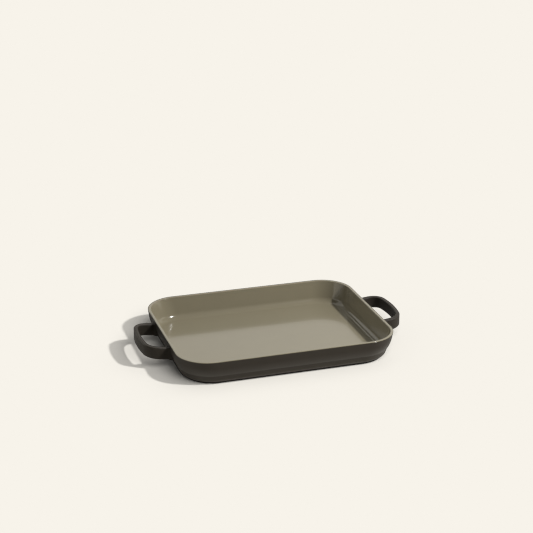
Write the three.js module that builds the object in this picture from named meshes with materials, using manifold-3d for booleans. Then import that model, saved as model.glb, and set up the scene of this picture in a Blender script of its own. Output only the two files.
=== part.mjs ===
// Griddle pan: a shallow rounded-rectangular pan of cast aluminium. A ceramic lining covers the inside
// and the rim, a perforated steel plate for induction hobs is let into the base, and a loop handle is
// held to each end wall by two countersunk screws whose heads lie under the lining.
// Millimetres, +Z up, the long side along X. The origin is the middle of the base.

import * as THREE from 'three';
import { mergeVertices } from 'three/addons/utils/BufferGeometryUtils.js';
import Module from 'manifold-3d';

const wasm = await Module();
wasm.setup();

// Pan: the rim's outline is the largest, and every other outline of the pan is set in from it.
// The corners grow rounder towards the base, by a share of the distance below the rim.
const RIM_LENGTH = 340;
const RIM_WIDTH = 270;
const RIM_CORNER_RADIUS = 50;
const CORNER_GROWTH = 0.22;
const PAN_HEIGHT = 40;

// Outside: a straight wall, a bow that turns it inwards, a crease, a base band with a round edge, a foot
const WALL_DRAFT = THREE.MathUtils.degToRad(6.3);
const BOW_LEVEL = 30;
const BOW_RADIUS = 41;
const CREASE_LEVEL = 14.8;
const BAND_DRAFT = THREE.MathUtils.degToRad(16);
const BASE_EDGE_RADIUS = 4.5;
const BASE_EDGE_LEVEL = 3.4;
const FOOT_INSET = 15.2;
const FOOT_EDGE_CHAMFER = 0.8;

// Inside: a rim with a round inner edge, a straight wall and an arc down to the floor
const RIM_BREADTH = 4.05;
const RIM_EDGE_RADIUS = 1.2;
const INNER_DRAFT = THREE.MathUtils.degToRad(9);
const INNER_BOTTOM_RADIUS = 10;
const FLOOR_LEVEL = 5;

// Lining: far thinner on the real pan, drawn thick enough to be a solid
const LINING_THICKNESS = 0.6;
const SEAT_GAP = 0.1;

// Induction plate in its recess, with staggered rows of holes
const PLATE_INSET = 26;
const PLATE_THICKNESS = 1;
const PLATE_RECESS_DEPTH = 1.4;
const PLATE_GAP = 0.3;
const PLATE_HOLE_RADIUS = 4.5;
const PLATE_HOLE_PITCH = 36;
const PLATE_HOLE_ROWS = 7;
const PLATE_HOLES_IN_LONG_ROW = 8;

// Handle: a flat strap bent into a D, rising outwards from the end wall
const HANDLE_ARM_HALF_SPACING = 47.5;
const HANDLE_REACH = 35.6;
const HANDLE_CORNER_RADIUS = 20;
const HANDLE_GRIP_RADIUS = 190;
const HANDLE_ROOT_LEVEL = 24.4;
const HANDLE_ROOT_DEPTH = 7;
const HANDLE_RISE = 0.126;
const STRAP_HEIGHT = 17.8;
const STRAP_THICKNESS_AT_ARM = 7.6;
const STRAP_THICKNESS_AT_GRIP = 6;
const STRAP_EDGE_RADIUS = 2.2;
const ROOT_FLARE = 1.5;
const ROOT_FLARE_LENGTH = 6;
const HANDLE_GAP = 0.3;

// Handle screws: countersunk, driven square to the drafted wall from inside the pan
const SCREW_HEAD_RADIUS = 4;
const SCREW_HEAD_HEIGHT = 2.2;
const SCREW_SHANK_RADIUS = 2;
const SCREW_LENGTH = 16;
const SCREW_SOCKET_RADIUS = 1.4;
const SCREW_SOCKET_DEPTH = 1.3;
const SCREW_GAP = 0.3;

// How finely round forms are divided
const CORNER_STEPS = 10;
const PROFILE_ARC_DIVISIONS = 4;
const STRAP_EDGE_DIVISIONS = 2;
const HANDLE_CORNER_STEPS = 9;
const HANDLE_GRIP_STEPS = 8;
const HANDLE_ARM_STEPS = 5;
const SCREW_SIDES = 16;
const SCREW_SOCKET_SIDES = 6;
const PLATE_HOLE_DIVISIONS = 5;

const QUARTER_TURN = Math.PI / 2;
const MERGE_TOLERANCE = 1e-4;

const charcoalCoat = { color: 0x3a3631, roughness: 0.5, metalness: 0.1 };
const ceramicCoat = { color: 0x9b927d, roughness: 0.25, metalness: 0 };
const plateSteel = { color: 0x9a9a98, roughness: 0.35, metalness: 1 };
const screwSteel = { color: 0xb4b4b2, roughness: 0.3, metalness: 1 };

// Solids by lofting: rings with equal point counts, joined in order and closed by a fan at both ends.
// Each ring runs anticlockwise when seen from the side of the ring after it.
function loft(rings) {
  const count = rings[0].length;
  const vertices = rings.flat();
  const triangles = [];
  for (let ring = 0; ring < rings.length - 1; ring += 1) {
    for (let side = 0; side < count; side += 1) {
      const next = (side + 1) % count;
      const a = ring * count + side;
      const b = ring * count + next;
      const c = (ring + 1) * count + next;
      const d = (ring + 1) * count + side;
      triangles.push(a, b, c, a, c, d);
    }
  }
  const firstCentre = vertices.push(centreOf(rings[0])) - 1;
  const lastCentre = vertices.push(centreOf(rings.at(-1))) - 1;
  const lastStart = (rings.length - 1) * count;
  for (let side = 0; side < count; side += 1) {
    const next = (side + 1) % count;
    triangles.push(firstCentre, next, side);
    triangles.push(lastCentre, lastStart + side, lastStart + next);
  }
  const geometry = new THREE.BufferGeometry().setFromPoints(vertices);
  geometry.setIndex(triangles);
  return geometry;
}

function centreOf(points) {
  const centre = new THREE.Vector3();
  points.forEach((point) => centre.add(point));
  return centre.divideScalar(points.length);
}

// Booleans: a geometry becomes a solid and back
function toSolid(geometry) {
  const bare = geometry.clone();
  bare.deleteAttribute('normal');
  bare.deleteAttribute('uv');
  const merged = mergeVertices(bare, MERGE_TOLERANCE);
  const corners = merged.index.array;
  const triVerts = [];
  for (let i = 0; i < corners.length; i += 3) {
    const [a, b, c] = corners.subarray(i, i + 3);
    if (a !== b && b !== c && c !== a) triVerts.push(a, b, c);
  }
  return new wasm.Manifold(new wasm.Mesh({
    numProp: 3,
    vertProperties: Float32Array.from(merged.attributes.position.array),
    triVerts: Uint32Array.from(triVerts),
  }));
}

function toGeometry(solid) {
  const { vertProperties, triVerts } = solid.getMesh();
  const geometry = new THREE.BufferGeometry();
  geometry.setAttribute('position', new THREE.BufferAttribute(vertProperties, 3));
  geometry.setIndex(new THREE.BufferAttribute(triVerts, 1));
  return geometry;
}

function cutFrom(geometry, cutters) {
  const solid = cutters.reduce((rest, cutter) => rest.subtract(toSolid(cutter)), toSolid(geometry));
  return toGeometry(solid);
}

function namedMesh(name, geometry, finish) {
  geometry.computeVertexNormals();
  const mesh = new THREE.Mesh(geometry, new THREE.MeshStandardMaterial(finish));
  mesh.name = name;
  return mesh;
}

// The pan's outline at one inset from the rim: at each level all the corners share their centres
function outlineRing(inset, level) {
  const radius = RIM_CORNER_RADIUS - inset + CORNER_GROWTH * (PAN_HEIGHT - level);
  const cornerX = RIM_LENGTH / 2 - inset - radius;
  const cornerY = RIM_WIDTH / 2 - inset - radius;
  const corners = [[cornerX, cornerY], [-cornerX, cornerY], [-cornerX, -cornerY], [cornerX, -cornerY]];
  return corners.flatMap(([x, y], corner) => Array.from({ length: CORNER_STEPS + 1 }, (_, step) => {
    const angle = QUARTER_TURN * (corner + step / CORNER_STEPS);
    return new THREE.Vector3(x + radius * Math.cos(angle), y + radius * Math.sin(angle), level);
  }));
}

function outlineShape(inset) {
  return new THREE.Shape(outlineRing(inset, 0).map((point) => new THREE.Vector2(point.x, point.y)));
}

// A wall profile, (inset, level) along a path, carried round the pan and moved outwards by a gap
function sweepRound(profile, gap = 0) {
  const all = profile.getPoints(PROFILE_ARC_DIVISIONS);
  const distinct = all.filter((point, i) => i === 0 || point.distanceTo(all[i - 1]) > MERGE_TOLERANCE);
  return loft(distinct.map((point) => outlineRing(point.x - gap, point.y)));
}

// Lean of the outer wall from upright, and its inset, at a level above the crease
function outerLean(level) {
  return Math.asin(Math.sin(WALL_DRAFT) + Math.max(BOW_LEVEL - level, 0) / BOW_RADIUS);
}

function outerInset(level) {
  const straight = (PAN_HEIGHT - Math.max(level, BOW_LEVEL)) * Math.tan(WALL_DRAFT);
  return straight + BOW_RADIUS * (Math.cos(WALL_DRAFT) - Math.cos(outerLean(level)));
}

// Inset, at a level, of the drafted inner face at a depth below the lining's face
function innerInset(level, depth) {
  return RIM_BREADTH + (PAN_HEIGHT - level) * Math.tan(INNER_DRAFT) - depth / Math.cos(INNER_DRAFT);
}

// Outside of the pan, from the foot over the base band, the crease and the bow to a level of the wall
function outsideFace(profile, topLevel) {
  const edgeLevel = BASE_EDGE_LEVEL + BASE_EDGE_RADIUS;
  const bandEnd = edgeLevel - BASE_EDGE_RADIUS * Math.sin(BAND_DRAFT);
  const bandEndInset = outerInset(CREASE_LEVEL) + (CREASE_LEVEL - bandEnd) * Math.tan(BAND_DRAFT);
  const edgeInset = bandEndInset + BASE_EDGE_RADIUS * Math.cos(BAND_DRAFT);
  const bowInset = outerInset(BOW_LEVEL) + BOW_RADIUS * Math.cos(WALL_DRAFT);
  const bowLevel = BOW_LEVEL + BOW_RADIUS * Math.sin(WALL_DRAFT);
  const creaseAngle = Math.PI + outerLean(CREASE_LEVEL);
  const bandAngle = Math.PI + BAND_DRAFT;
  profile.moveTo(FOOT_INSET + FOOT_EDGE_CHAMFER, 0);
  profile.lineTo(FOOT_INSET, FOOT_EDGE_CHAMFER);
  profile.lineTo(FOOT_INSET, BASE_EDGE_LEVEL);
  profile.absarc(edgeInset, edgeLevel, BASE_EDGE_RADIUS, Math.PI + QUARTER_TURN, bandAngle, true);
  profile.absarc(bowInset, bowLevel, BOW_RADIUS, creaseAngle, Math.PI + WALL_DRAFT, true);
  profile.lineTo(outerInset(topLevel), topLevel);
  return profile;
}

// Inside of the pan, from the rim down to the floor, at a depth below the lining's face
function insideFace(profile, depth) {
  const edge = RIM_EDGE_RADIUS - depth;
  const edgeLevel = PAN_HEIGHT - RIM_EDGE_RADIUS;
  const edgeTouch = edgeLevel + edge * Math.sin(INNER_DRAFT);
  const edgeInset = innerInset(edgeTouch, depth) - edge * Math.cos(INNER_DRAFT);
  const radius = INNER_BOTTOM_RADIUS + depth;
  const bottomLevel = FLOOR_LEVEL - depth + radius;
  const bottomTouch = bottomLevel - radius * Math.sin(INNER_DRAFT);
  const bottomInset = innerInset(bottomTouch, depth) + radius * Math.cos(INNER_DRAFT);
  profile.absarc(edgeInset, edgeLevel, edge, QUARTER_TURN, INNER_DRAFT, true);
  profile.absarc(bottomInset, bottomLevel, radius, Math.PI + INNER_DRAFT, Math.PI + QUARTER_TURN, false);
  return profile;
}

// Pan body: foot, base band and bowed wall outside, the seat of the lining inside
function panBodyGeometry() {
  const seatDepth = LINING_THICKNESS + SEAT_GAP;
  const profile = insideFace(outsideFace(new THREE.Path(), PAN_HEIGHT - seatDepth), seatDepth);
  const plateRecess = new THREE.ExtrudeGeometry(outlineShape(PLATE_INSET - PLATE_GAP), {
    depth: 2 * PLATE_RECESS_DEPTH,
    bevelEnabled: false,
  });
  plateRecess.translate(0, 0, -PLATE_RECESS_DEPTH);
  const screwHoles = screwPlaces().map((place) => screwForm(SCREW_GAP).applyMatrix4(place.matrix));
  return cutFrom(sweepRound(profile), [plateRecess, ...screwHoles]);
}

// Lining: one skin over the floor, the walls and the rim
function liningGeometry() {
  const edgeLevel = PAN_HEIGHT - LINING_THICKNESS;
  const edgeInset = outerInset(edgeLevel);
  const under = insideFace(new THREE.Path().moveTo(edgeInset, edgeLevel), LINING_THICKNESS);
  const profile = new THREE.Path(under.getPoints(PROFILE_ARC_DIVISIONS).reverse());
  profile.absarc(edgeInset + LINING_THICKNESS, edgeLevel, LINING_THICKNESS, Math.PI, QUARTER_TURN, true);
  return sweepRound(insideFace(profile, 0));
}

// Induction plate: a steel sheet with staggered rows of round holes
function inductionPlateGeometry() {
  const shape = outlineShape(PLATE_INSET);
  const rowSpacing = PLATE_HOLE_PITCH * Math.sin(Math.PI / 3);
  for (let row = 0; row < PLATE_HOLE_ROWS; row += 1) {
    const inRow = PLATE_HOLES_IN_LONG_ROW - (row % 2);
    for (let hole = 0; hole < inRow; hole += 1) {
      const x = (hole - (inRow - 1) / 2) * PLATE_HOLE_PITCH;
      const y = (row - (PLATE_HOLE_ROWS - 1) / 2) * rowSpacing;
      shape.holes.push(new THREE.Path().absarc(x, y, PLATE_HOLE_RADIUS, 0, 2 * Math.PI, true));
    }
  }
  return new THREE.ExtrudeGeometry(shape, {
    depth: PLATE_THICKNESS,
    bevelEnabled: false,
    curveSegments: PLATE_HOLE_DIVISIONS,
  });
}

// The strap's middle line in plan, for the handle on the +X end: arm, corner, bowed grip, corner, arm
function handleLine() {
  const start = RIM_LENGTH / 2 - HANDLE_ROOT_DEPTH;
  const gripCentreX = RIM_LENGTH / 2 + HANDLE_REACH - HANDLE_GRIP_RADIUS;
  const cornerY = HANDLE_ARM_HALF_SPACING - HANDLE_CORNER_RADIUS;
  const cornerDistance = HANDLE_GRIP_RADIUS - HANDLE_CORNER_RADIUS;
  const gripAngle = Math.asin(cornerY / cornerDistance);
  const cornerX = gripCentreX + cornerDistance * Math.cos(gripAngle);
  const armPoint = (x, side) => new THREE.Vector2(x, side * HANDLE_ARM_HALF_SPACING);
  const arc = (x, y, radius, from, to) => new THREE.EllipseCurve(x, y, radius, radius, from, to);
  const frontArm = new THREE.LineCurve(armPoint(start, -1), armPoint(cornerX, -1));
  const frontCorner = arc(cornerX, -cornerY, HANDLE_CORNER_RADIUS, -QUARTER_TURN, -gripAngle);
  const grip = arc(gripCentreX, 0, HANDLE_GRIP_RADIUS, -gripAngle, gripAngle);
  const rearCorner = arc(cornerX, cornerY, HANDLE_CORNER_RADIUS, gripAngle, QUARTER_TURN);
  const rearArm = new THREE.LineCurve(armPoint(cornerX, 1), armPoint(start, 1));
  return [
    { curve: frontArm, steps: HANDLE_ARM_STEPS },
    { curve: frontCorner, steps: HANDLE_CORNER_STEPS },
    { curve: grip, steps: HANDLE_GRIP_STEPS },
    { curve: rearCorner, steps: HANDLE_CORNER_STEPS },
    { curve: rearArm, steps: HANDLE_ARM_STEPS },
  ];
}

// The strap's section, as (across, up) points: a flat bar with round edges
function strapSection(thickness, height) {
  const acrossCentre = thickness / 2 - STRAP_EDGE_RADIUS;
  const upCentre = height / 2 - STRAP_EDGE_RADIUS;
  const shape = new THREE.Path();
  shape.absarc(acrossCentre, upCentre, STRAP_EDGE_RADIUS, 0, QUARTER_TURN, false);
  shape.absarc(-acrossCentre, upCentre, STRAP_EDGE_RADIUS, QUARTER_TURN, 2 * QUARTER_TURN, false);
  shape.absarc(-acrossCentre, -upCentre, STRAP_EDGE_RADIUS, 2 * QUARTER_TURN, 3 * QUARTER_TURN, false);
  shape.absarc(acrossCentre, -upCentre, STRAP_EDGE_RADIUS, 3 * QUARTER_TURN, 4 * QUARTER_TURN, false);
  return shape.getPoints(STRAP_EDGE_DIVISIONS);
}

function strapRing(point, tangent) {
  const out = point.x - (RIM_LENGTH / 2 - outerInset(HANDLE_ROOT_LEVEL));
  const flare = ROOT_FLARE * THREE.MathUtils.clamp(1 - out / ROOT_FLARE_LENGTH, 0, 1) ** 2;
  const thin = THREE.MathUtils.smoothstep(out, ROOT_FLARE_LENGTH, HANDLE_REACH);
  const thickness = THREE.MathUtils.lerp(STRAP_THICKNESS_AT_ARM, STRAP_THICKNESS_AT_GRIP, thin);
  const level = HANDLE_ROOT_LEVEL + HANDLE_RISE * out;
  return strapSection(thickness + 2 * flare, STRAP_HEIGHT + 2 * flare).map(({ x: across, y: up }) => {
    const x = point.x - across * tangent.y;
    const y = point.y + across * tangent.x;
    return new THREE.Vector3(x, y, level + up);
  });
}

// Handle: the section carried along the line, both ends cut to the outside of the pan and drilled
function handleGeometry() {
  const rings = [];
  handleLine().forEach(({ curve, steps }) => {
    for (let step = rings.length ? 1 : 0; step <= steps; step += 1) {
      rings.push(strapRing(curve.getPoint(step / steps), curve.getTangent(step / steps)));
    }
  });
  const panOutside = sweepRound(outsideFace(new THREE.Path(), PAN_HEIGHT), HANDLE_GAP);
  const screwHoles = screwPlaces()
    .filter((place) => place.end === 'right')
    .map((place) => screwForm(SCREW_GAP).applyMatrix4(place.matrix));
  return cutFrom(loft(rings), [panOutside, ...screwHoles]);
}

// Where the screws go: the head's face on the lining's seat, square to the end wall
function screwPlaces() {
  const places = [];
  for (const end of ['right', 'left']) {
    for (const side of ['front', 'rear']) {
      const outX = end === 'right' ? 1 : -1;
      const outY = side === 'rear' ? 1 : -1;
      const seatInset = innerInset(HANDLE_ROOT_LEVEL, LINING_THICKNESS + SEAT_GAP);
      const seatX = outX * (RIM_LENGTH / 2 - seatInset);
      const place = new THREE.Object3D();
      place.position.set(seatX, outY * HANDLE_ARM_HALF_SPACING, HANDLE_ROOT_LEVEL);
      place.rotation.y = outX * (INNER_DRAFT - QUARTER_TURN);
      place.updateMatrix();
      places.push({ end, side, matrix: place.matrix });
    }
  }
  return places;
}

// Screw form, head face at the origin and facing +Z, or the hole that clears it by a gap
function screwForm(gap) {
  const form = new THREE.LatheGeometry([
    new THREE.Vector2(0, gap),
    new THREE.Vector2(SCREW_HEAD_RADIUS + gap, gap),
    new THREE.Vector2(SCREW_HEAD_RADIUS + gap, -gap),
    new THREE.Vector2(SCREW_SHANK_RADIUS + gap, -SCREW_HEAD_HEIGHT - gap),
    new THREE.Vector2(SCREW_SHANK_RADIUS + gap, -SCREW_LENGTH - gap),
    new THREE.Vector2(0, -SCREW_LENGTH - gap),
  ].reverse(), SCREW_SIDES);
  return form.rotateX(QUARTER_TURN);
}

function screwGeometry() {
  const radius = SCREW_SOCKET_RADIUS;
  const socket = new THREE.CylinderGeometry(radius, radius, 2 * SCREW_SOCKET_DEPTH, SCREW_SOCKET_SIDES);
  return cutFrom(screwForm(0), [socket.rotateX(QUARTER_TURN)]);
}

const pan = new THREE.Group();
pan.add(namedMesh('pan_body', panBodyGeometry(), charcoalCoat));
pan.add(namedMesh('ceramic_lining', liningGeometry(), ceramicCoat));

const plate = namedMesh('induction_base', inductionPlateGeometry(), plateSteel);
plate.position.z = PLATE_RECESS_DEPTH - PLATE_GAP - PLATE_THICKNESS;
pan.add(plate);

for (const [end, turn] of [['right', 0], ['left', Math.PI]]) {
  const handle = namedMesh(`${end}_handle`, handleGeometry(), charcoalCoat);
  handle.rotation.z = turn;
  pan.add(handle);
}

for (const { end, side, matrix } of screwPlaces()) {
  const screw = namedMesh(`${end}_handle_${side}_screw`, screwGeometry(), screwSteel);
  screw.applyMatrix4(matrix);
  pan.add(screw);
}

export default pan;
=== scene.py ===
"""Griddle pan with a ceramic lining and two loop handles, on a pale studio floor.

The file is laid out as an add-on and run as a script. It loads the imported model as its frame, makes
every visible piece at the frame's own sizes and stands the camera where the photograph was taken.
"""

import math

import bmesh
import bpy
from bpy.props import FloatProperty, FloatVectorProperty, IntProperty, PointerProperty
from mathutils import Matrix, Vector


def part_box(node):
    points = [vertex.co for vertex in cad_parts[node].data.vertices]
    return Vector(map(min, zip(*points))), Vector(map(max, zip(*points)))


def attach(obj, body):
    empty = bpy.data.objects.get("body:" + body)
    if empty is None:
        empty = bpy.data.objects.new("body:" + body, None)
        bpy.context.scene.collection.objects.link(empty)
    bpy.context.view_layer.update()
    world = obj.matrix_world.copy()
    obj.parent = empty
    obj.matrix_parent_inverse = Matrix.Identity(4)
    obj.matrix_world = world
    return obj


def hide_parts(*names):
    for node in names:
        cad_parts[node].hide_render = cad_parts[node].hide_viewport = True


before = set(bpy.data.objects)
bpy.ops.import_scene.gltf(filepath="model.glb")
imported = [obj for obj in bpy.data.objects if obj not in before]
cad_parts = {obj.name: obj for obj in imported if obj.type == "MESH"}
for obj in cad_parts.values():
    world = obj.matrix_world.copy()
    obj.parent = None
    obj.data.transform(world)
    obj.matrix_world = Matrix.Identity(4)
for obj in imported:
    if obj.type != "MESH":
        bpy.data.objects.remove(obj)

bl_info = {
    "name": "Griddle Pan",
    "version": (1, 0, 0),
    "blender": (4, 5, 0),
    "location": "3D View > Sidebar > Griddle Pan",
    "description": "Builds a ceramic-lined griddle pan with two loop handles, and its studio",
    "category": "Add Mesh",
}

MM = 0.001
QUARTER_TURN = math.pi / 2
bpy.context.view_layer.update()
PAN_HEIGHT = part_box("ceramic_lining")[1].z
PLATE_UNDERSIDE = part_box("induction_base")[0].z
PLATE_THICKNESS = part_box("induction_base")[1].z - PLATE_UNDERSIDE

# How finely round forms are divided
CORNER_STEPS = 40
ARC_STEPS = 20
EDGE_STEPS = 5
STRAP_EDGE_STEPS = 6
HANDLE_STEPS = {"arm": 14, "corner": 22, "grip": 26}
HOLE_STEPS = 32
SCREW_STEPS = 32
SMOOTH_ANGLE = math.radians(35)
MERGE_DISTANCE = 0.001 * MM
FLAT_MARGIN = 2 * MM
SOCKET_SIDES = 6
STAGGER = math.radians(60)

# Finishes: names, size and detail of their patterns, strength and depth of their bumps, and gloss
COAT = "Charcoal ceramic coat, sprayed satin"
COAT_MOTTLE = (18 * MM, 4)
COAT_PEEL = (2.2 * MM, 2)
PEEL_STRENGTH = 0.35
GLAZE = "Warm grey ceramic coat, glossy"
GLAZE_MOTTLE = (25 * MM, 3)
GLAZE_IOR = 1.5
GLAZE_TOP_ROUGHNESS = 0.05
STEEL = "Stainless steel, brushed"
STEEL_ROUGHNESS = 0.32
# Real scratches are about 0.1 mm apart. They are drawn coarser, to show.
SCRATCHES = (0.8 * MM, 4)
SCRATCH_STRETCH = (0.02, 1, 1)
SCRATCH_STRENGTH = 0.4
BUMP_DEPTH = 0.05 * MM

# Half the studio floor's side and the farthest that the camera sees, in metres
FLOOR_HALF = 15.0
CLIP_END = 100

# Opposite corners of the dark cards, in metres. Only reflections show them.
DARK_CARDS = {
    "front": ((-6.0, -2.4, 0.0), (6.0, -2.4, 5.0)),
    "behind": ((-0.55, 3.0, 0.0), (0.25, 3.0, 2.4)),
    "ceiling": ((-6.0, -2.4, 3.0), (6.0, 1.2, 3.0)),
}

# How far a face leans, as the size of its normal's Z, where the coat's film is driest and smoothest
FILM_LEAN = (0.15, 0.5)

# How near to its direction a soft light begins and is full, as the cosine of the angle
FILL_SPREAD = (0.72, 0.91)
WINDOW_SPREAD = (0.2, 0.8)


def linear(hex_colour):
    """An sRGB hex colour as linear red, green and blue."""
    channels = [int(hex_colour[i:i + 2], 16) / 255 for i in (1, 3, 5)]
    return tuple(c / 12.92 if c <= 0.04045 else ((c + 0.055) / 1.055) ** 2.4 for c in channels)


class PanSizes(bpy.types.PropertyGroup):
    """Pan body, lining and foot."""

    rim_length: FloatProperty(
        name="Rim length", description="Outside of the rim along the long side",
        default=340 * MM, unit="LENGTH")
    rim_width: FloatProperty(
        name="Rim width", description="Outside of the rim along the short side",
        default=270 * MM, unit="LENGTH")
    corner_radius: FloatProperty(
        name="Corner radius", description="Outside of the rim at its corners",
        default=50 * MM, unit="LENGTH")
    height: FloatProperty(
        name="Height", description="From the foot to the top of the rim",
        default=PAN_HEIGHT, unit="LENGTH")
    corner_growth: FloatProperty(
        name="Corner growth", description="How much rounder the corners are for each length below the rim",
        default=0.22, subtype="FACTOR")
    draft: FloatProperty(
        name="Wall draft", description="Lean of the outer wall below the rim",
        default=math.radians(6.3), subtype="ANGLE")
    bow_level: FloatProperty(
        name="Bow level", description="Where the outer wall starts to turn inwards",
        default=30 * MM, unit="LENGTH")
    bow_radius: FloatProperty(
        name="Bow radius", description="Curve that turns the outer wall inwards",
        default=41 * MM, unit="LENGTH")
    crease_level: FloatProperty(
        name="Crease level", description="Where the bow meets the base band",
        default=14.8 * MM, unit="LENGTH")
    crease_step: FloatProperty(
        name="Crease step", description="How far the base band is set in under the crease",
        default=0.4 * MM, unit="LENGTH")
    band_draft: FloatProperty(
        name="Band draft", description="Lean of the base band",
        default=math.radians(14), subtype="ANGLE")
    base_edge: FloatProperty(
        name="Base edge radius", description="Rounding from the base band to the underside",
        default=5.5 * MM, unit="LENGTH")
    base_edge_level: FloatProperty(
        name="Base edge level", description="Underside between the base band and the foot",
        default=3.4 * MM, unit="LENGTH")
    foot_inset: FloatProperty(
        name="Foot inset", description="How far the foot is set in from the rim",
        default=15.2 * MM, unit="LENGTH")
    foot_edge: FloatProperty(
        name="Foot edge", description="Chamfer along the foot's lower edge",
        default=0.8 * MM, unit="LENGTH")
    rim_breadth: FloatProperty(
        name="Rim breadth", description="Rim and lining across the top",
        default=4.05 * MM, unit="LENGTH")
    rim_edge: FloatProperty(
        name="Rim edge radius", description="Rounding of the rim's inner edge",
        default=1.2 * MM, unit="LENGTH")
    inner_draft: FloatProperty(
        name="Inner draft", description="Lean of the inner wall",
        default=math.radians(9), subtype="ANGLE")
    inner_radius: FloatProperty(
        name="Inner bottom radius", description="Arc from the cooking floor to the wall",
        default=10 * MM, unit="LENGTH")
    floor_level: FloatProperty(
        name="Floor level", description="Height of the cooking floor",
        default=5 * MM, unit="LENGTH")
    lining: FloatProperty(
        name="Lining thickness", description="Ceramic lining over the floor, walls and rim",
        default=0.6 * MM, unit="LENGTH")
    seat_gap: FloatProperty(
        name="Seat gap", description="Gap between the lining and the pan body",
        default=0.1 * MM, unit="LENGTH")


class PlateSizes(bpy.types.PropertyGroup):
    """Perforated steel plate in the base."""

    inset: FloatProperty(
        name="Plate inset", description="How far the plate is set in from the rim",
        default=26 * MM, unit="LENGTH")
    gap: FloatProperty(
        name="Plate gap", description="Gap between the plate and its recess",
        default=0.3 * MM, unit="LENGTH")
    recess: FloatProperty(
        name="Recess depth", description="Depth of the plate's recess in the base",
        default=1.4 * MM, unit="LENGTH")
    hole_radius: FloatProperty(
        name="Hole radius", description="Radius of the holes in the plate",
        default=4.5 * MM, unit="LENGTH")
    hole_pitch: FloatProperty(
        name="Hole pitch", description="Distance between neighbouring holes",
        default=36 * MM, unit="LENGTH")
    long_rows: IntProperty(
        name="Long rows", description="Rows with the full number of holes", default=4)
    holes_in_row: IntProperty(
        name="Holes in a row", description="Holes in a long row", default=8)


class HandleSizes(bpy.types.PropertyGroup):
    """Loop handles: a flat strap bent into a D."""

    half_spacing: FloatProperty(
        name="Half spacing", description="From the pan's middle to the middle of an arm",
        default=47.5 * MM, unit="LENGTH")
    reach: FloatProperty(
        name="Reach", description="From the rim to the middle of the grip",
        default=35.6 * MM, unit="LENGTH")
    corner_radius: FloatProperty(
        name="Corner radius", description="Middle line of the bend between arm and grip",
        default=20 * MM, unit="LENGTH")
    grip_radius: FloatProperty(
        name="Grip radius", description="Middle line of the bowed grip",
        default=190 * MM, unit="LENGTH")
    root_level: FloatProperty(
        name="Root level", description="Middle of the strap where it meets the wall",
        default=24.4 * MM, unit="LENGTH")
    rise: FloatProperty(
        name="Rise", description="How far the strap climbs for each length outwards",
        default=0.126, subtype="FACTOR")
    strap_height: FloatProperty(
        name="Strap height", description="Height of the strap", default=17.8 * MM, unit="LENGTH")
    arm_thickness: FloatProperty(
        name="Arm thickness", description="Thickness of the strap at the arms",
        default=7.6 * MM, unit="LENGTH")
    grip_thickness: FloatProperty(
        name="Grip thickness", description="Thickness of the strap at the grip",
        default=6 * MM, unit="LENGTH")
    edge_radius: FloatProperty(
        name="Edge radius", description="Rounding of the strap's edges",
        default=1.5 * MM, unit="LENGTH")
    flare: FloatProperty(
        name="Root flare", description="How far the strap spreads where it meets the wall",
        default=1.5 * MM, unit="LENGTH")
    flare_length: FloatProperty(
        name="Flare length", description="Distance over which the strap spreads",
        default=6 * MM, unit="LENGTH")


class ScrewSizes(bpy.types.PropertyGroup):
    """Countersunk screws that hold the handles, under the lining."""

    head_radius: FloatProperty(
        name="Head radius", description="Radius of the flat head", default=4 * MM, unit="LENGTH")
    head_height: FloatProperty(
        name="Head height", description="Height of the head's cone", default=2.2 * MM, unit="LENGTH")
    shank_radius: FloatProperty(
        name="Shank radius", description="Radius of the shank", default=2 * MM, unit="LENGTH")
    length: FloatProperty(
        name="Length", description="Length with the head", default=16 * MM, unit="LENGTH")
    socket_radius: FloatProperty(
        name="Socket radius", description="Hexagon socket across its corners, halved",
        default=1.4 * MM, unit="LENGTH")
    socket_depth: FloatProperty(
        name="Socket depth", description="Depth of the hexagon socket",
        default=1.3 * MM, unit="LENGTH")


class FinishColours(bpy.types.PropertyGroup):
    """Colours of the finishes."""

    charcoal: FloatVectorProperty(
        name="Charcoal coat", description="Coat on the outside and the handles",
        default=linear("#292219"), subtype="COLOR")
    charcoal_shade: FloatVectorProperty(
        name="Charcoal shade", description="Darker tone in the charcoal coat",
        default=linear("#241E15"), subtype="COLOR")
    ceramic: FloatVectorProperty(
        name="Ceramic lining", description="Glossy lining on the inside and the rim",
        default=linear("#8D856F"), subtype="COLOR")
    ceramic_shade: FloatVectorProperty(
        name="Ceramic shade", description="Darker tone in the lining",
        default=linear("#89816C"), subtype="COLOR")
    charcoal_roughness: FloatVectorProperty(
        name="Charcoal roughness", description="Roughness of the coat on upright and on level faces",
        default=(0.76, 0.52), size=2)
    charcoal_specular: FloatVectorProperty(
        name="Charcoal specular", description="Specular level of the coat on upright and level faces",
        default=(0.38, 0.46), size=2)
    ceramic_roughness: FloatProperty(
        name="Ceramic roughness", description="Roughness of the lining", default=0.15, subtype="FACTOR")
    ceramic_coat: FloatProperty(
        name="Ceramic gloss", description="Weight of the sharp top gloss of the lining",
        default=0.2, subtype="FACTOR")
    steel: FloatVectorProperty(
        name="Steel", description="Induction plate and screws",
        default=linear("#BFBDB8"), subtype="COLOR")
    steel_shade: FloatVectorProperty(
        name="Steel shade", description="Darker tone between the scratches",
        default=linear("#A5A39E"), subtype="COLOR")
    card: FloatVectorProperty(
        name="Dark card", description="Cards in front of, behind and above the pan",
        default=linear("#1E1C1A"), subtype="COLOR")
    paper: FloatVectorProperty(
        name="Paper", description="Studio floor, as reflections show it",
        default=linear("#C1BEB6"), subtype="COLOR")
    backdrop: FloatVectorProperty(
        name="Backdrop", description="Background of the picture",
        default=linear("#F7F3EA"), subtype="COLOR")


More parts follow.
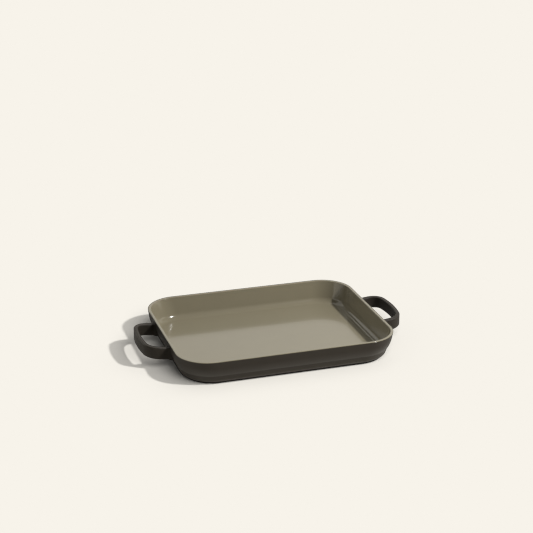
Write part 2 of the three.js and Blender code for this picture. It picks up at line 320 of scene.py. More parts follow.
class StageSettings(bpy.types.PropertyGroup):
    """Camera, lamps and the light of the room."""

    camera_place: FloatVectorProperty(
        name="Camera place", description="Where the camera stands",
        default=(-0.6104, -1.9218, 0.8800), subtype="TRANSLATION", unit="LENGTH")
    view_azimuth: FloatProperty(
        name="View azimuth", description="Turn of the view to the right of the pan's +Y",
        default=math.radians(17.545), subtype="ANGLE")
    view_drop: FloatProperty(
        name="View drop", description="How far the view looks down",
        default=math.radians(20.497), subtype="ANGLE")
    lens: FloatProperty(
        name="Lens", description="Focal length on a 36 mm frame", default=94.96)
    key_place: FloatVectorProperty(
        name="Key place", description="Where the key light hangs",
        default=(1.03, -0.97, 1.35), subtype="TRANSLATION", unit="LENGTH")
    key_power: FloatProperty(
        name="Key power", description="Power of the key light", default=30.5, unit="POWER")
    key_size: FloatProperty(
        name="Key size", description="Diameter of the key light", default=0.12, unit="LENGTH")
    paper_place: FloatVectorProperty(
        name="Paper light place", description="Where the light for the paper hangs",
        default=(0.1, -1.5, 1.5), subtype="TRANSLATION", unit="LENGTH")
    paper_power: FloatProperty(
        name="Paper light power", description="Power of the light for the paper", default=40, unit="POWER")
    paper_key_power: FloatProperty(
        name="Paper key power", description="Power of the light beside the key light, for the paper alone",
        default=20, unit="POWER")
    paper_size: FloatProperty(
        name="Paper light size", description="Diameter of the light for the paper",
        default=1.5, unit="LENGTH")
    fill_towards: FloatVectorProperty(
        name="Fill towards", description="Direction of the soft light above the pan",
        default=(0.5, 0.15, 0.85), subtype="DIRECTION")
    fill_strength: FloatProperty(
        name="Fill strength", description="Soft light from above the pan", default=0.95)
    window_towards: FloatVectorProperty(
        name="Window towards", description="Direction of the wide light on the left",
        default=(-0.85, 0.40, 0.35), subtype="DIRECTION")
    window_strength: FloatProperty(
        name="Window strength", description="Wide light from the left", default=0.27)
    room_strength: FloatProperty(
        name="Room strength", description="Light from the rest of the room", default=0.03)
    fill_tint: FloatVectorProperty(
        name="Fill tint", description="Colour of the soft lights and the room",
        default=(0.97, 1.0, 1.04), subtype="COLOR", max=2)


# Nodes and meshes

def add_node(tree, kind, inputs=None, **settings):
    """Adds a node, with its settings and with values or links on its inputs."""
    node = tree.nodes.new(kind)
    for name, value in settings.items():
        setattr(node, name, value)
    for socket, value in (inputs or {}).items():
        links = value if isinstance(value, list) else [value]
        if isinstance(links[0], bpy.types.NodeSocket):
            for link in links:
                tree.links.new(link, node.inputs[socket])
        else:
            node.inputs[socket].default_value = value
    return node


def new_tree(name, inputs):
    """A geometry node tree with a geometry input and output and further named inputs."""
    tree = bpy.data.node_groups.new(name, "GeometryNodeTree")
    tree.interface.new_socket("Geometry", in_out="INPUT", socket_type="NodeSocketGeometry")
    for label, kind in inputs.items():
        tree.interface.new_socket(label, in_out="INPUT", socket_type=f"NodeSocket{kind}")
    tree.interface.new_socket("Geometry", in_out="OUTPUT", socket_type="NodeSocketGeometry")
    return tree, add_node(tree, "NodeGroupInput").outputs


def round_outline(tree, given):
    """A rectangle with round corners, as a curve."""
    outline = add_node(tree, "GeometryNodeCurvePrimitiveQuadrilateral", {
        "Width": given["Length"], "Height": given["Width"]})
    rounded = add_node(tree, "GeometryNodeFilletCurve", {
        "Curve": outline.outputs[0], "Radius": given["Corner Radius"],
        "Count": given["Corner Steps"]}, mode="POLY")
    return rounded.outputs[0]


def end_tree(tree, geometry, material):
    """Ends a geometry node tree: real geometry, with its material."""
    realized = add_node(tree, "GeometryNodeRealizeInstances", {"Geometry": geometry})
    finished = add_node(tree, "GeometryNodeSetMaterial", {
        "Geometry": realized.outputs[0], "Material": material})
    add_node(tree, "NodeGroupOutput", {"Geometry": finished.outputs[0]})


def evaluated_mesh(name, start, tree, values):
    """The plain mesh that a node tree makes from a starting mesh."""
    holder = bpy.data.objects.new(name, start)
    bpy.context.scene.collection.objects.link(holder)
    modifier = holder.modifiers.new(tree.name, "NODES")
    modifier.node_group = tree
    for item in tree.interface.items_tree:
        if item.in_out == "INPUT" and item.name in values:
            modifier[item.identifier] = values[item.name]
    graph = bpy.context.evaluated_depsgraph_get()
    mesh = bpy.data.meshes.new_from_object(holder.evaluated_get(graph), depsgraph=graph)
    holder.modifiers.remove(modifier)
    bpy.data.objects.remove(holder)
    if not mesh.polygons:
        raise RuntimeError(f"{tree.name} made no faces for {name}")
    return mesh


def finish_piece(name, mesh, nodes):
    """Puts a finished mesh in the scene as a piece that stands for CAD nodes."""
    mesh.name = name
    mesh.polygons.foreach_set("use_smooth", [True] * len(mesh.polygons))
    mesh.set_sharp_from_angle(angle=SMOOTH_ANGLE)
    piece = bpy.data.objects.new(name, mesh)
    bpy.context.scene.collection.objects.link(piece)
    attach(piece, "root")
    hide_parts(*nodes)
    return piece


# Wall sections, as (inset from the rim's outline, level) points

def arc(centre, radius, start, end, steps):
    """Points on an arc, both ends included."""
    angles = [start + (end - start) * step / steps for step in range(steps + 1)]
    return [(centre[0] + radius * math.cos(a), centre[1] + radius * math.sin(a)) for a in angles]


def outer_lean(pan, level):
    """Lean of the outer wall from upright at a level above the crease."""
    return math.asin(math.sin(pan.draft) + max(pan.bow_level - level, 0) / pan.bow_radius)


def outer_inset(pan, level):
    """Inset of the outside at a level above the base edge: wall, bow and base band."""
    wall_level = max(level, pan.crease_level)
    straight = (pan.height - max(wall_level, pan.bow_level)) * math.tan(pan.draft)
    bow = pan.bow_radius * (math.cos(pan.draft) - math.cos(outer_lean(pan, wall_level)))
    step = pan.crease_step if level < pan.crease_level else 0
    return straight + bow + step + (wall_level - level) * math.tan(pan.band_draft)


def inner_inset(pan, level, depth):
    """Inset of the inner wall at a level, at a depth below the lining's face."""
    face = pan.rim_breadth + (pan.height - level) * math.tan(pan.inner_draft)
    return face - depth / math.cos(pan.inner_draft)


def outside_section(pan, top_level):
    """Outside of the pan from the foot up to a level of the wall."""
    edge_level = pan.base_edge_level + pan.base_edge
    band_end = edge_level - pan.base_edge * math.sin(pan.band_draft)
    edge_inset = outer_inset(pan, band_end) + pan.base_edge * math.cos(pan.band_draft)
    bow_centre = (outer_inset(pan, pan.bow_level) + pan.bow_radius * math.cos(pan.draft),
                  pan.bow_level + pan.bow_radius * math.sin(pan.draft))
    foot = [(pan.foot_inset + pan.foot_edge, 0), (pan.foot_inset, pan.foot_edge),
            (pan.foot_inset, pan.base_edge_level)]
    edge = arc((edge_inset, edge_level), pan.base_edge, math.pi + QUARTER_TURN, math.pi + pan.band_draft,
               ARC_STEPS)
    step = [(outer_inset(pan, pan.crease_level) + pan.crease_step, pan.crease_level)]
    bow = arc(bow_centre, pan.bow_radius, math.pi + outer_lean(pan, pan.crease_level),
              math.pi + pan.draft, ARC_STEPS)
    return foot + edge + step + bow + [(outer_inset(pan, top_level), top_level)]


def inside_section(pan, depth):
    """Inside of the pan from the rim down to the floor, at a depth below the lining's face."""
    edge = pan.rim_edge - depth
    edge_level = pan.height - pan.rim_edge
    edge_touch = edge_level + edge * math.sin(pan.inner_draft)
    edge_inset = inner_inset(pan, edge_touch, depth) - edge * math.cos(pan.inner_draft)
    rim = arc((edge_inset, edge_level), edge, QUARTER_TURN, pan.inner_draft, EDGE_STEPS)
    radius = pan.inner_radius + depth
    level = pan.floor_level - depth + radius
    touch = level - radius * math.sin(pan.inner_draft)
    inset = inner_inset(pan, touch, depth) + radius * math.cos(pan.inner_draft)
    bottom = arc((inset, level), radius, math.pi + pan.inner_draft, math.pi + QUARTER_TURN, ARC_STEPS)
    floor_edge = (bottom[-1][0] + FLAT_MARGIN, bottom[-1][1])
    return rim + bottom + [floor_edge]


def rim_sweep_tree():
    """Carries a section round the rim's outline: a rectangle with round corners."""
    tree, given = new_tree("Rim Sweep", {
        "Length": "Float", "Width": "Float", "Corner Radius": "Float",
        "Corner Steps": "Int", "Corner Growth": "Float", "Top": "Float",
        "Material": "Material"})
    outline = round_outline(tree, given)
    upright = add_node(tree, "GeometryNodeSetCurveNormal", {"Curve": outline}, mode="Z_UP")
    section = add_node(tree, "GeometryNodeMeshToCurve", {"Mesh": given["Geometry"]})
    swept = add_node(tree, "GeometryNodeCurveToMesh", {
        "Curve": upright.outputs[0], "Profile Curve": section.outputs[0]})
    rounder = add_node(tree, "GeometryNodeSetPosition", {
        "Geometry": swept.outputs[0], "Offset": corner_offset(tree, given)})
    end_tree(tree, rounder.outputs[0], given["Material"])
    return tree


def corner_offset(tree, given):
    """Moves each corner's arc to a rounder one: its centre goes inwards and its radius grows alike."""
    place = add_node(tree, "GeometryNodeInputPosition").outputs[0]
    level = add_node(tree, "ShaderNodeSeparateXYZ", {0: place}).outputs["Z"]
    below = add_node(tree, "ShaderNodeMath", {0: given["Top"], 1: level}, operation="SUBTRACT")
    growth = add_node(tree, "ShaderNodeMath", {
        0: given["Corner Growth"], 1: below.outputs[0]}, operation="MULTIPLY")
    size = add_node(tree, "ShaderNodeCombineXYZ", {0: given["Length"], 1: given["Width"]})
    half = add_node(tree, "ShaderNodeVectorMath", {0: size.outputs[0], "Scale": 0.5}, operation="SCALE")
    radius = add_node(tree, "ShaderNodeCombineXYZ", {
        0: given["Corner Radius"], 1: given["Corner Radius"]})
    centre = add_node(tree, "ShaderNodeVectorMath", {
        0: half.outputs[0], 1: radius.outputs[0]}, operation="SUBTRACT")
    flat = add_node(tree, "ShaderNodeVectorMath", {0: place, 1: (1, 1, 0)}, operation="MULTIPLY")
    sign = add_node(tree, "ShaderNodeVectorMath", {0: flat.outputs[0]}, operation="SIGN")
    corner = add_node(tree, "ShaderNodeVectorMath", {
        0: sign.outputs[0], 1: centre.outputs[0]}, operation="MULTIPLY")
    arm = add_node(tree, "ShaderNodeVectorMath", {
        0: flat.outputs[0], 1: corner.outputs[0]}, operation="SUBTRACT")
    out = add_node(tree, "ShaderNodeVectorMath", {0: arm.outputs[0]}, operation="NORMALIZE")
    turn = add_node(tree, "ShaderNodeVectorMath", {
        0: out.outputs[0], 1: sign.outputs[0]}, operation="SUBTRACT")
    offset = add_node(tree, "ShaderNodeVectorMath", {
        0: turn.outputs[0], "Scale": growth.outputs[0]}, operation="SCALE")
    return offset.outputs[0]


def swept_mesh(name, section, pan, material):
    """A section carried round the rim's outline, closed over the floor and underneath."""
    start = bpy.data.meshes.new(name)
    points = [(-inset, -level, 0) for inset, level in section]
    start.from_pydata(points, [(i, i + 1) for i in range(len(points) - 1)], [])
    tree = bpy.data.node_groups.get("Rim Sweep") or rim_sweep_tree()
    mesh = evaluated_mesh(name, start, tree, {
        "Length": pan.rim_length, "Width": pan.rim_width, "Corner Radius": pan.corner_radius,
        "Corner Steps": CORNER_STEPS, "Corner Growth": pan.corner_growth, "Top": pan.height,
        "Material": material})
    solid = bmesh.new()
    solid.from_mesh(mesh)
    bmesh.ops.holes_fill(solid, edges=[edge for edge in solid.edges if edge.is_boundary])
    bmesh.ops.recalc_face_normals(solid, faces=solid.faces)
    solid.to_mesh(mesh)
    solid.free()
    return mesh


# Materials

def new_material(name):
    """A material with its node tree and its shader."""
    material = bpy.data.materials.new(name)
    material.use_nodes = True
    return material, material.node_tree, material.node_tree.nodes["Principled BSDF"]


def toned_material(name, colour, shade, pattern, stretch=(1, 1, 1)):
    """A material whose tone drifts between two colours, with its coordinates and its pattern."""
    size, detail = pattern
    material, tree, shader = new_material(name)
    place = add_node(tree, "ShaderNodeTexCoord").outputs["Object"]
    along = add_node(tree, "ShaderNodeMapping", {"Vector": place, "Scale": stretch})
    noise = add_node(tree, "ShaderNodeTexNoise", {
        "Vector": along.outputs[0], "Scale": 1 / size, "Detail": detail}).outputs["Fac"]
    tone = add_node(tree, "ShaderNodeMix", {
        0: noise, 6: (*colour, 1), 7: (*shade, 1)}, data_type="RGBA")
    tree.links.new(tone.outputs[2], shader.inputs["Base Color"])
    return material, tree, shader, place, noise


def charcoal_coat(colours):
    """Sprayed ceramic coat on cast aluminium: dark and warm, satin, with a faint peel.

    The film lies smoother the more level a face is, and drier on upright faces.
    """
    material, tree, shader, place, _ = toned_material(
        COAT, colours.charcoal, colours.charcoal_shade, COAT_MOTTLE)
    peel = add_node(tree, "ShaderNodeTexNoise", {
        "Vector": place, "Scale": 1 / COAT_PEEL[0], "Detail": COAT_PEEL[1]})
    bump = add_node(tree, "ShaderNodeBump", {
        "Height": peel.outputs["Fac"], "Strength": PEEL_STRENGTH, "Distance": BUMP_DEPTH})
    tree.links.new(bump.outputs[0], shader.inputs["Normal"])
    normal = add_node(tree, "ShaderNodeTexCoord").outputs["Normal"]
    upward = add_node(tree, "ShaderNodeSeparateXYZ", {0: normal}).outputs["Z"]
    level = add_node(tree, "ShaderNodeMath", {0: upward}, operation="ABSOLUTE").outputs[0]
    films = {"Roughness": colours.charcoal_roughness, "Specular IOR Level": colours.charcoal_specular}
    for socket, (on_upright, on_level) in films.items():
        film = add_node(tree, "ShaderNodeMapRange", {
            "Value": level, "From Min": FILM_LEAN[0], "From Max": FILM_LEAN[1],
            "To Min": on_upright, "To Max": on_level})
        tree.links.new(film.outputs[0], shader.inputs[socket])
    return material


def ceramic_lining(colours):
    """Sol-gel ceramic coat: warm grey, smooth and glossy, mirroring the walls in the floor."""
    material, _, shader, _, _ = toned_material(
        GLAZE, colours.ceramic, colours.ceramic_shade, GLAZE_MOTTLE)
    shader.inputs["Roughness"].default_value = colours.ceramic_roughness
    shader.inputs["IOR"].default_value = GLAZE_IOR
    shader.inputs["Coat Weight"].default_value = colours.ceramic_coat
    shader.inputs["Coat Roughness"].default_value = GLAZE_TOP_ROUGHNESS
    return material


def brushed_steel(colours):
    """Brushed stainless sheet: scratches along the plate that streak its tone and its reflections."""
    material, tree, shader, _, scratches = toned_material(
        STEEL, colours.steel, colours.steel_shade, SCRATCHES, SCRATCH_STRETCH)
    bump = add_node(tree, "ShaderNodeBump", {
        "Height": scratches, "Strength": SCRATCH_STRENGTH, "Distance": BUMP_DEPTH})
    tree.links.new(bump.outputs[0], shader.inputs["Normal"])
    shader.inputs["Metallic"].default_value = 1
    shader.inputs["Roughness"].default_value = STEEL_ROUGHNESS
    return material


def matt_sheet(name, colour):
    """A sheet without gloss: paper that shows only the shadow, or felt that only reflections show."""
    material, _, shader = new_material(name)
    shader.inputs["Base Color"].default_value = (*colour, 1)
    shader.inputs["Roughness"].default_value = 1
    shader.inputs["Specular IOR Level"].default_value = 0
    return material


def finish(name, make, colours):
    """The material of that name, made once."""
    return bpy.data.materials.get(name) or make(colours)


# Handles

def handle_line(pan, handle):
    """The strap's middle line in plan at the +X end, as (point, direction) pairs from arm to arm."""
    grip_centre = pan.rim_length / 2 + handle.reach - handle.grip_radius
    corner_y = handle.half_spacing - handle.corner_radius
    corner_distance = handle.grip_radius - handle.corner_radius
    grip_angle = math.asin(corner_y / corner_distance)
    corner_x = grip_centre + corner_distance * math.cos(grip_angle)
    root = pan.rim_length / 2 - outer_inset(pan, handle.root_level)
    stations = []
    for step in range(HANDLE_STEPS["arm"]):
        x = root + (corner_x - root) * step / HANDLE_STEPS["arm"]
        stations.append((Vector((x, -handle.half_spacing)), Vector((1, 0))))
    bends = (
        ((corner_x, -corner_y), handle.corner_radius, -QUARTER_TURN, -grip_angle, HANDLE_STEPS["corner"]),
        ((grip_centre, 0), handle.grip_radius, -grip_angle, 0, HANDLE_STEPS["grip"] // 2),
    )
    for centre, radius, start, end, steps in bends:
        for step in range(steps):
            angle = start + (end - start) * step / steps
            out = Vector((math.cos(angle), math.sin(angle)))
            stations.append((Vector(centre) + radius * out, Vector((-out.y, out.x))))
    rear = [(Vector((p.x, -p.y)), Vector((-d.x, d.y))) for p, d in reversed(stations)]
    middle = [(Vector((grip_centre + handle.grip_radius, 0)), Vector((0, 1)))]
    return stations + middle + rear


def strap_section(thickness, height, edge):
    """The strap's section, as (across, up) points: a flat bar with round edges."""
    across = thickness / 2 - edge
    up = height / 2 - edge
    corners = ((across, up), (-across, up), (-across, -up), (across, -up))
    section = []
    for turn, centre in enumerate(corners):
        section += arc(centre, edge, turn * QUARTER_TURN, (turn + 1) * QUARTER_TURN, STRAP_EDGE_STEPS)
    return section


def strap_ring(pan, handle, point, direction, is_root):
    """One ring of the strap. At its root it lies on the outside of the wall."""
    root = pan.rim_length / 2 - outer_inset(pan, handle.root_level)
    out = point.x - root
    flare = handle.flare * max(0.0, 1 - out / handle.flare_length) ** 2
    share = min(max((out - handle.flare_length) / (handle.reach - handle.flare_length), 0.0), 1.0)
    ease = share * share * (3 - 2 * share)
    thickness = handle.arm_thickness + (handle.grip_thickness - handle.arm_thickness) * ease
    section = strap_section(thickness + 2 * flare, handle.strap_height + 2 * flare, handle.edge_radius)
    ring = []
    for across, up in section:
        z = handle.root_level + handle.rise * out + up
        x = point.x - across * direction.y
        if is_root:
            x = pan.rim_length / 2 - outer_inset(pan, z)
        ring.append((x, point.y + across * direction.x, z))
    return ring


def handle_mesh(name, pan, handle):
    """The strap carried along its line, closed at both roots."""
    line = handle_line(pan, handle)
    solid = bmesh.new()
    rings = []
    for i, (point, direction) in enumerate(line):
        ring = strap_ring(pan, handle, point, direction, i in (0, len(line) - 1))
        rings.append([solid.verts.new(corner) for corner in ring])
    for ring, following in zip(rings, rings[1:]):
        for i, vertex in enumerate(ring):
            j = (i + 1) % len(ring)
            solid.faces.new((vertex, ring[j], following[j], following[i]))
    solid.faces.new(reversed(rings[0]))
    solid.faces.new(rings[-1])
    bmesh.ops.remove_doubles(solid, verts=solid.verts, dist=MERGE_DISTANCE)
    bmesh.ops.recalc_face_normals(solid, faces=solid.faces)
    mesh = bpy.data.meshes.new(name)
    solid.to_mesh(mesh)
    solid.free()
    return mesh


# Plate and screws

def perforated_plate_tree():
    """A plate with round corners and two staggered grids of holes, extruded to its thickness."""
    tree, given = new_tree("Perforated Plate", {
        "Length": "Float", "Width": "Float", "Corner Radius": "Float",
        "Corner Steps": "Int", "Hole Radius": "Float", "Hole Steps": "Int",
        "Long Grid": "Vector", "Short Grid": "Vector", "Holes in Row": "Int",
        "Long Rows": "Int", "Thickness": "Float", "Underside": "Float",
        "Material": "Material"})
    hole = add_node(tree, "GeometryNodeCurvePrimitiveCircle", {
        "Resolution": given["Hole Steps"], "Radius": given["Hole Radius"]})
    curves = [round_outline(tree, given)]
    for grid, fewer in (("Long Grid", 0), ("Short Grid", 1)):
        size = add_node(tree, "ShaderNodeSeparateXYZ", {0: given[grid]}).outputs
        in_row = add_node(tree, "ShaderNodeMath", {
            0: given["Holes in Row"], 1: fewer}, operation="SUBTRACT")
        rows = add_node(tree, "ShaderNodeMath", {0: given["Long Rows"], 1: fewer}, operation="SUBTRACT")
        places = add_node(tree, "GeometryNodeMeshGrid", {
            "Size X": size["X"], "Size Y": size["Y"], "Vertices X": in_row.outputs[0],
            "Vertices Y": rows.outputs[0]})
        holes = add_node(tree, "GeometryNodeInstanceOnPoints", {
            "Points": places.outputs[0], "Instance": hole.outputs[0]})
        curves.append(add_node(tree, "GeometryNodeRealizeInstances", {
            "Geometry": holes.outputs[0]}).outputs[0])
    drawing = add_node(tree, "GeometryNodeJoinGeometry", {"Geometry": curves})
    sheet = add_node(tree, "GeometryNodeFillCurve", {"Curve": drawing.outputs[0]}, mode="TRIANGLES")
    raised = add_node(tree, "GeometryNodeExtrudeMesh", {
        "Mesh": sheet.outputs[0], "Offset Scale": given["Thickness"], "Individual": False}, mode="FACES")
    under = add_node(tree, "GeometryNodeFlipFaces", {"Mesh": sheet.outputs[0]})
    both = add_node(tree, "GeometryNodeJoinGeometry", {"Geometry": [raised.outputs[0], under.outputs[0]]})
    closed = add_node(tree, "GeometryNodeMergeByDistance", {
        "Geometry": both.outputs[0], "Distance": MERGE_DISTANCE})
    height = add_node(tree, "ShaderNodeCombineXYZ", {"Z": given["Underside"]})
    placed = add_node(tree, "GeometryNodeTransform", {
        "Geometry": closed.outputs[0], "Translation": height.outputs[0]})
    end_tree(tree, placed.outputs[0], given["Material"])
    return tree


def screw_set_tree():
    """One countersunk screw with a hexagon socket, set at the four ends of the handles."""
    tree, given = new_tree("Screw Set", {
        "Spread": "Vector", "Turn": "Float", "Head Radius": "Float",
        "Head Height": "Float", "Shank Radius": "Float", "Length": "Float",
        "Socket Radius": "Float", "Socket Depth": "Float", "Steps": "Int",
        "Material": "Material"})
    drop = add_node(tree, "ShaderNodeMath", {0: given["Head Height"], 1: -1.0}, operation="MULTIPLY")
    head_place = add_node(tree, "ShaderNodeCombineXYZ", {"Z": drop.outputs[0]})
    cone = add_node(tree, "GeometryNodeMeshCone", {
        "Vertices": given["Steps"], "Radius Top": given["Head Radius"],
        "Radius Bottom": given["Shank Radius"], "Depth": given["Head Height"]})
    head = add_node(tree, "GeometryNodeTransform", {
        "Geometry": cone.outputs[0], "Translation": head_place.outputs[0]})
    lengths = {0: given["Length"], 1: given["Head Height"]}
    reach = add_node(tree, "ShaderNodeMath", lengths, operation="SUBTRACT")
    middle = add_node(tree, "ShaderNodeMath", lengths, operation="ADD")
    half_down = add_node(tree, "ShaderNodeMath", {0: middle.outputs[0], 1: -0.5}, operation="MULTIPLY")
    shank_place = add_node(tree, "ShaderNodeCombineXYZ", {"Z": half_down.outputs[0]})
    bar = add_node(tree, "GeometryNodeMeshCylinder", {
        "Vertices": given["Steps"], "Radius": given["Shank Radius"], "Depth": reach.outputs[0]})
    shank = add_node(tree, "GeometryNodeTransform", {
        "Geometry": bar.outputs[0], "Translation": shank_place.outputs[0]})
    solid = add_node(tree, "GeometryNodeMeshBoolean", {
        "Mesh 2": [head.outputs[0], shank.outputs[0]]}, operation="UNION", solver="EXACT")
    twice = add_node(tree, "ShaderNodeMath", {0: given["Socket Depth"], 1: 2.0}, operation="MULTIPLY")
    socket = add_node(tree, "GeometryNodeMeshCylinder", {
        "Vertices": SOCKET_SIDES, "Radius": given["Socket Radius"], "Depth": twice.outputs[0]})
    screw = add_node(tree, "GeometryNodeMeshBoolean", {
        "Mesh 1": solid.outputs[0], "Mesh 2": socket.outputs[0]}, operation="DIFFERENCE", solver="EXACT")
    spread = add_node(tree, "ShaderNodeSeparateXYZ", {0: given["Spread"]}).outputs
    ends = add_node(tree, "GeometryNodeMeshGrid", {
        "Size X": spread["X"], "Size Y": spread["Y"], "Vertices X": 2, "Vertices Y": 2})
    level = add_node(tree, "ShaderNodeCombineXYZ", {"Z": spread["Z"]})
    raised = add_node(tree, "GeometryNodeTransform", {
        "Geometry": ends.outputs[0], "Translation": level.outputs[0]})
    place = add_node(tree, "GeometryNodeInputPosition").outputs[0]
    along = add_node(tree, "ShaderNodeSeparateXYZ", {0: place}).outputs["X"]
    side = add_node(tree, "ShaderNodeMath", {0: along}, operation="SIGN")
    lean = add_node(tree, "ShaderNodeMath", {0: side.outputs[0], 1: given["Turn"]}, operation="MULTIPLY")
    turn = add_node(tree, "ShaderNodeCombineXYZ", {"Y": lean.outputs[0]})
    screws = add_node(tree, "GeometryNodeInstanceOnPoints", {
        "Points": raised.outputs[0], "Instance": screw.outputs[0], "Rotation": turn.outputs[0]})
    end_tree(tree, screws.outputs[0], given["Material"])
    return tree


class GRIDDLEPAN_OT_stage(bpy.types.Operator):
    """Lay the floor, hang the lights and stand the camera where the photograph was taken"""

    bl_idname = "griddle_pan.stage"
    bl_label = "Stage"

    def execute(self, context):
        scene = context.scene
        stage = scene.griddle_stage
        colours = scene.griddle_colours
        floor = self.lay_floor(scene, colours)
        self.hang_light(scene, "key_light", stage.key_place, stage.key_power, stage.key_size)
        paper = bpy.data.collections.new("paper")
        paper.objects.link(floor)
        for name, place, power, size in (
                ("paper_light", stage.paper_place, stage.paper_power, stage.paper_size),
                ("paper_key_light", stage.key_place, stage.paper_key_power, stage.key_size)):
            light = self.hang_light(scene, name, place, power, size)
            light.light_linking.receiver_collection = paper
        self.stand_cards(scene, colours)
        self.set_world(scene, stage, colours)
        self.stand_camera(scene, stage)
        scene.view_settings.view_transform = "Standard"
        return {"FINISHED"}

    def lay_floor(self, scene, colours):
        mesh = bpy.data.meshes.new("studio_floor")
        corners = [(x * FLOOR_HALF, y * FLOOR_HALF, 0) for x, y in ((-1, -1), (1, -1), (1, 1), (-1, 1))]
        mesh.from_pydata(corners, [], [(0, 1, 2, 3)])
        mesh.materials.append(matt_sheet("Backdrop paper, matt", colours.paper))
        floor = bpy.data.objects.new("studio_floor", mesh)
        floor.is_shadow_catcher = True
        scene.collection.objects.link(floor)
        return floor

    def hang_light(self, scene, name, place, power, size):
        data = bpy.data.lights.new(name, "AREA")
        data.shape = "DISK"
        data.size = size
        data.energy = power
        light = bpy.data.objects.new(name, data)
        light.location = place
        light.rotation_euler = Vector(place).to_track_quat("Z", "Y").to_euler()
        scene.collection.objects.link(light)
        return light

    def stand_cards(self, scene, colours):
        mesh = bpy.data.meshes.new("dark_cards")
        points = []
        for first, last in DARK_CARDS.values():
            points += [first, (last[0], first[1], first[2]), last, (first[0], last[1], last[2])]
        mesh.from_pydata(points, [], [(i, i + 1, i + 2, i + 3) for i in range(0, len(points), 4)])
        mesh.materials.append(matt_sheet("Black felt, matt", colours.card))
        cards = bpy.data.objects.new("dark_cards", mesh)
        for ray in ("camera", "diffuse", "transmission", "volume_scatter", "shadow"):
            setattr(cards, f"visible_{ray}", False)
        scene.collection.objects.link(cards)

    def set_world(self, scene, stage, colours):
        world = bpy.data.worlds.new("studio")
        world.use_nodes = True
        tree = world.node_tree
        sky = add_node(tree, "ShaderNodeTexCoord").outputs["Generated"]
        light = stage.room_strength
        lights = ((stage.fill_towards, FILL_SPREAD, stage.fill_strength),
                  (stage.window_towards, WINDOW_SPREAD, stage.window_strength))
        for towards, spread, strength in lights:
            nearness = add_node(tree, "ShaderNodeVectorMath", {
                0: sky, 1: Vector(towards).normalized()}, operation="DOT_PRODUCT")
            soft = add_node(tree, "ShaderNodeMapRange", {
                "Value": nearness.outputs["Value"], "From Min": spread[0], "From Max": spread[1],
                "To Min": 0.0, "To Max": strength}, interpolation_type="SMOOTHSTEP")
            light = add_node(tree, "ShaderNodeMath", {0: soft.outputs[0], 1: light}).outputs[0]
        tinted = add_node(tree, "ShaderNodeVectorMath", {
            0: stage.fill_tint, "Scale": light}, operation="SCALE")
        path = add_node(tree, "ShaderNodeLightPath").outputs
        seen = add_node(tree, "ShaderNodeMath", {
            0: path["Is Camera Ray"], 1: path["Is Glossy Ray"]}, operation="MAXIMUM")
        shown = add_node(tree, "ShaderNodeMath", {
            0: seen.outputs[0], 1: path["Is Transmission Ray"]}, operation="MAXIMUM")
        seen_or_lit = add_node(tree, "ShaderNodeMix", {
            0: shown.outputs[0], 6: tinted.outputs[0], 7: (*colours.backdrop, 1)}, data_type="RGBA")
        tree.links.new(seen_or_lit.outputs[2], tree.nodes["Background"].inputs["Color"])
        scene.world = world

    def stand_camera(self, scene, stage):
        data = bpy.data.cameras.new("photo_camera")
        data.lens = stage.lens
        data.clip_end = CLIP_END
        camera = bpy.data.objects.new("photo_camera", data)
        camera.location = stage.camera_place
        camera.rotation_euler = (QUARTER_TURN - stage.view_drop, 0, -stage.view_azimuth)
        scene.collection.objects.link(camera)
        scene.camera = camera


class GRIDDLEPAN_OT_pan_body(bpy.types.Operator):
    """Make the cast pan body with its foot and the recess for the plate"""

    bl_idname = "griddle_pan.pan_body"
    bl_label = "Pan body"

    def execute(self, context):
        pan = context.scene.griddle_pan
        plate = context.scene.griddle_plate
        coat = finish(COAT, charcoal_coat, context.scene.griddle_colours)
        recess_inset = plate.inset - plate.gap
        recess = [(recess_inset + FLAT_MARGIN, plate.recess), (recess_inset, plate.recess),
                  (recess_inset, 0)]
        seat = pan.lining + pan.seat_gap
        section = recess + outside_section(pan, pan.height - seat) + inside_section(pan, seat)
        mesh = swept_mesh("pan_body_cast", section, pan, coat)
        finish_piece("pan_body_cast", mesh, ["pan_body"])
        return {"FINISHED"}


class GRIDDLEPAN_OT_ceramic_lining(bpy.types.Operator):
    """Make the ceramic lining over the floor, the walls and the rim"""

    bl_idname = "griddle_pan.ceramic_lining"
    bl_label = "Ceramic lining"

    def execute(self, context):
        pan = context.scene.griddle_pan
        glaze = finish(GLAZE, ceramic_lining, context.scene.griddle_colours)
        edge_level = pan.height - pan.lining
        edge_inset = outer_inset(pan, edge_level)
        edge = arc((edge_inset + pan.lining, edge_level), pan.lining, math.pi, QUARTER_TURN, EDGE_STEPS)
        under = [(edge_inset, edge_level)] + inside_section(pan, pan.lining)
        section = under[:0:-1] + edge + inside_section(pan, 0)
        mesh = swept_mesh("lining_ceramic", section, pan, glaze)
        finish_piece("lining_ceramic", mesh, ["ceramic_lining"])
        return {"FINISHED"}


class GRIDDLEPAN_OT_handles(bpy.types.Operator):
    """Make the two loop handles"""

    bl_idname = "griddle_pan.handles"
    bl_label = "Handles"

    def execute(self, context):
        pan = context.scene.griddle_pan
        handle = context.scene.griddle_handle
        coat = finish(COAT, charcoal_coat, context.scene.griddle_colours)
        for side, turn in (("right", 0), ("left", math.pi)):
            mesh = handle_mesh(f"{side}_handle_strap", pan, handle)
            mesh.transform(Matrix.Rotation(turn, 4, "Z"))
            mesh.materials.append(coat)
            finish_piece(f"{side}_handle_strap", mesh, [f"{side}_handle"])
        return {"FINISHED"}


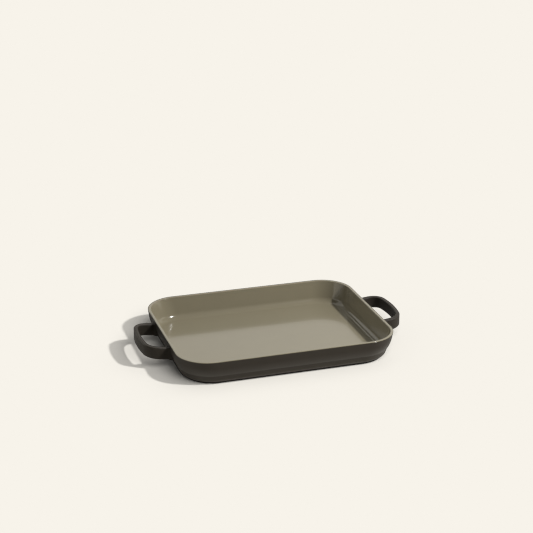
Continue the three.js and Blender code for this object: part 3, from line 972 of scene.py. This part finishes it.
class GRIDDLEPAN_OT_induction_base(bpy.types.Operator):
    """Make the perforated steel plate in the base"""

    bl_idname = "griddle_pan.induction_base"
    bl_label = "Induction base"

    def execute(self, context):
        pan = context.scene.griddle_pan
        plate = context.scene.griddle_plate
        steel = finish(STEEL, brushed_steel, context.scene.griddle_colours)
        row_step = 2 * plate.hole_pitch * math.sin(STAGGER)
        in_row = plate.holes_in_row - 1
        rows = plate.long_rows - 1
        start = bpy.data.meshes.new("plate_start")
        mesh = evaluated_mesh("induction_plate", start, perforated_plate_tree(), {
            "Length": pan.rim_length - 2 * plate.inset, "Width": pan.rim_width - 2 * plate.inset,
            "Corner Radius": pan.corner_radius - plate.inset + pan.corner_growth * pan.height,
            "Corner Steps": CORNER_STEPS, "Hole Radius": plate.hole_radius, "Hole Steps": HOLE_STEPS,
            "Long Grid": (in_row * plate.hole_pitch, rows * row_step, 0),
            "Short Grid": ((in_row - 1) * plate.hole_pitch, (rows - 1) * row_step, 0),
            "Holes in Row": plate.holes_in_row, "Long Rows": plate.long_rows,
            "Thickness": PLATE_THICKNESS, "Underside": PLATE_UNDERSIDE, "Material": steel})
        finish_piece("induction_plate", mesh, ["induction_base"])
        return {"FINISHED"}


class GRIDDLEPAN_OT_screws(bpy.types.Operator):
    """Make the four screws that hold the handles"""

    bl_idname = "griddle_pan.screws"
    bl_label = "Screws"

    def execute(self, context):
        pan = context.scene.griddle_pan
        handle = context.scene.griddle_handle
        screw = context.scene.griddle_screw
        steel = finish(STEEL, brushed_steel, context.scene.griddle_colours)
        seat = inner_inset(pan, handle.root_level, pan.lining + pan.seat_gap)
        start = bpy.data.meshes.new("screw_start")
        mesh = evaluated_mesh("handle_screws", start, screw_set_tree(), {
            "Spread": (pan.rim_length - 2 * seat, 2 * handle.half_spacing, handle.root_level),
            "Turn": pan.inner_draft - QUARTER_TURN, "Head Radius": screw.head_radius,
            "Head Height": screw.head_height, "Shank Radius": screw.shank_radius, "Length": screw.length,
            "Socket Radius": screw.socket_radius, "Socket Depth": screw.socket_depth,
            "Steps": SCREW_STEPS, "Material": steel})
        nodes = [f"{end}_handle_{side}_screw" for end in ("right", "left") for side in ("front", "rear")]
        finish_piece("handle_screws", mesh, nodes)
        return {"FINISHED"}


class GRIDDLEPAN_PT_sidebar(bpy.types.Panel):
    """Sizes, colours and pieces of the griddle pan"""

    bl_label = "Griddle Pan"
    bl_space_type = "VIEW_3D"
    bl_region_type = "UI"
    bl_category = "Griddle Pan"

    def draw(self, context):
        for operator in OPERATORS:
            self.layout.operator(operator.bl_idname)
        for name in GROUPS:
            group = getattr(context.scene, name)
            box = self.layout.box()
            for key in group.bl_rna.properties.keys():
                if key not in ("rna_type", "name"):
                    box.prop(group, key)


GROUPS = {
    "griddle_pan": PanSizes,
    "griddle_plate": PlateSizes,
    "griddle_handle": HandleSizes,
    "griddle_screw": ScrewSizes,
    "griddle_colours": FinishColours,
    "griddle_stage": StageSettings,
}
OPERATORS = (
    GRIDDLEPAN_OT_stage,
    GRIDDLEPAN_OT_pan_body,
    GRIDDLEPAN_OT_ceramic_lining,
    GRIDDLEPAN_OT_handles,
    GRIDDLEPAN_OT_induction_base,
    GRIDDLEPAN_OT_screws,
)
CLASSES = (*GROUPS.values(), *OPERATORS, GRIDDLEPAN_PT_sidebar)


def register():
    for cls in CLASSES:
        bpy.utils.register_class(cls)
    for name, group in GROUPS.items():
        setattr(bpy.types.Scene, name, PointerProperty(type=group))


def unregister():
    for name in GROUPS:
        delattr(bpy.types.Scene, name)
    for cls in reversed(CLASSES):
        bpy.utils.unregister_class(cls)


def main():
    register()
    bpy.ops.griddle_pan.stage()
    bpy.ops.griddle_pan.pan_body()
    bpy.ops.griddle_pan.ceramic_lining()
    bpy.ops.griddle_pan.handles()
    bpy.ops.griddle_pan.induction_base()
    bpy.ops.griddle_pan.screws()


if __name__ == "__main__":
    main()
